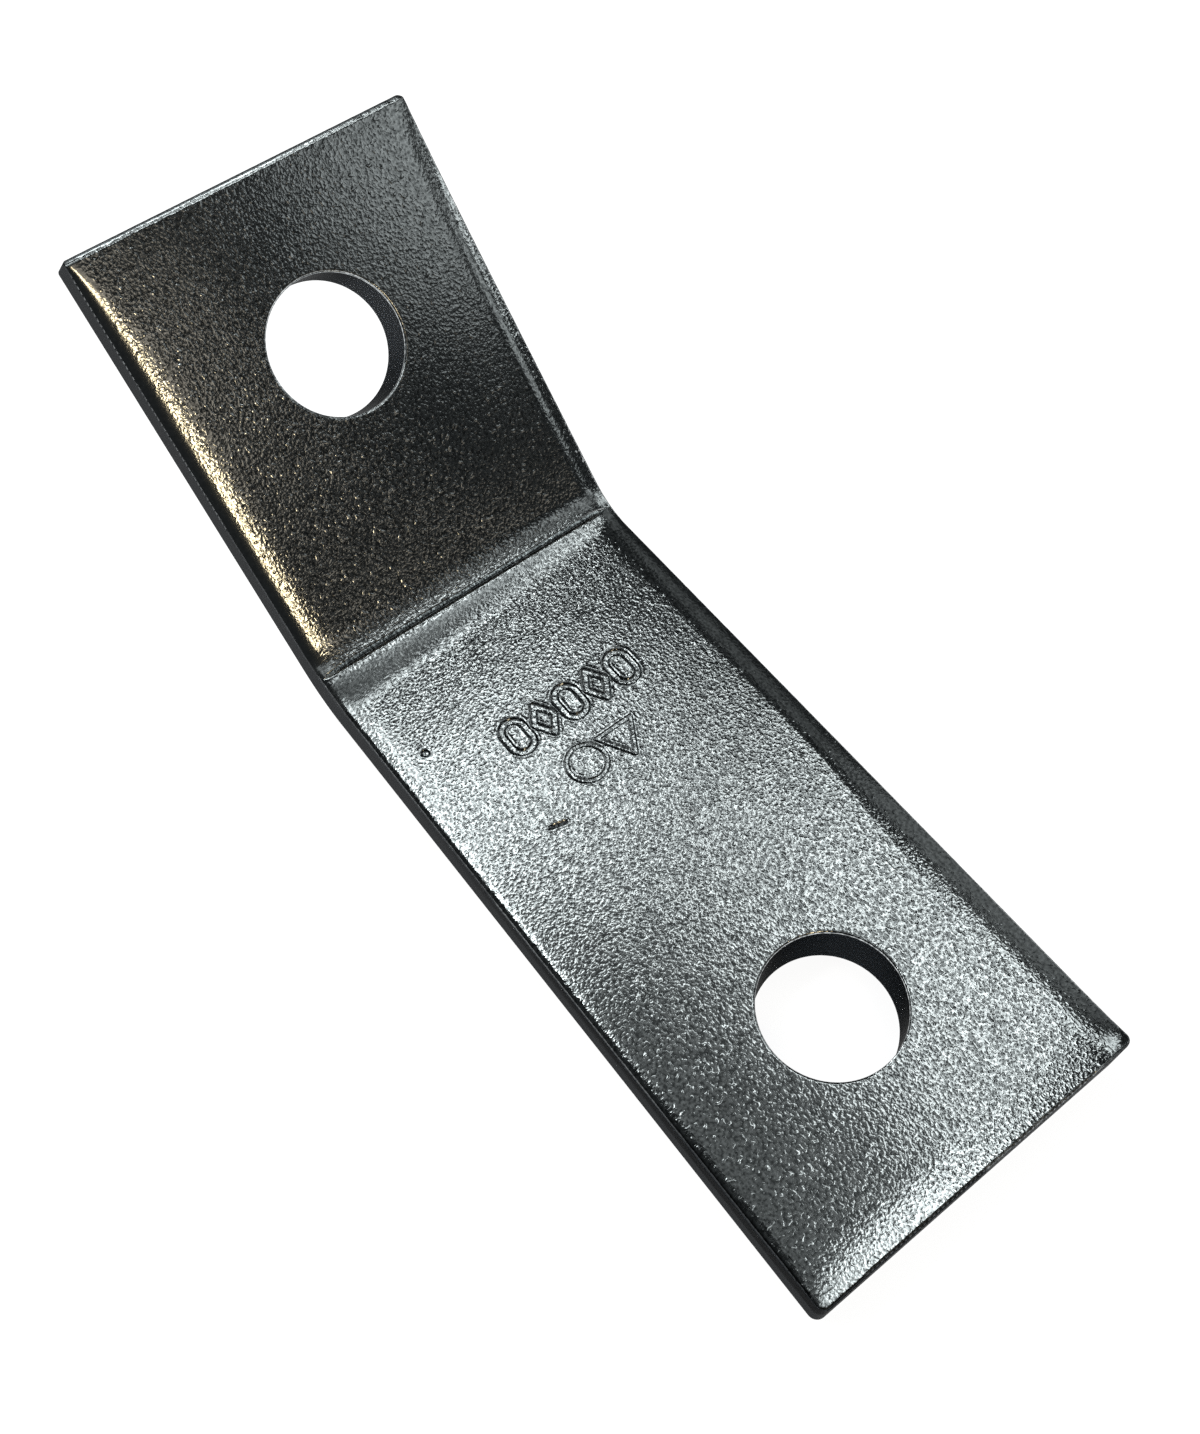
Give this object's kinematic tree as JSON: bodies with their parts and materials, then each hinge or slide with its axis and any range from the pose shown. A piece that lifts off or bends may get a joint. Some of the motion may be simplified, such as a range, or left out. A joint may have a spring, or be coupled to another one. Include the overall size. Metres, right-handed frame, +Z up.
{
  "type": "open corner angle bracket",
  "caption": "Thick stainless flat bar bent to an open angle, with a plain through hole in each leg, for joining framing at a slant.",
  "frame": {"origin": "middle of the bounding box, in the plane of the long leg's outer face", "axes": "+X from the short leg's end towards the long leg's end, +Y across the bar, +Z up out of the long leg's inner face"},
  "size_m": [0.116, 0.0382, 0.0396],
  "materials": {
    "stainless_steel": "satin"
  },
  "bodies": {
    "root": {"angle_bracket": "stainless_steel"}
  },
  "joints": []
}
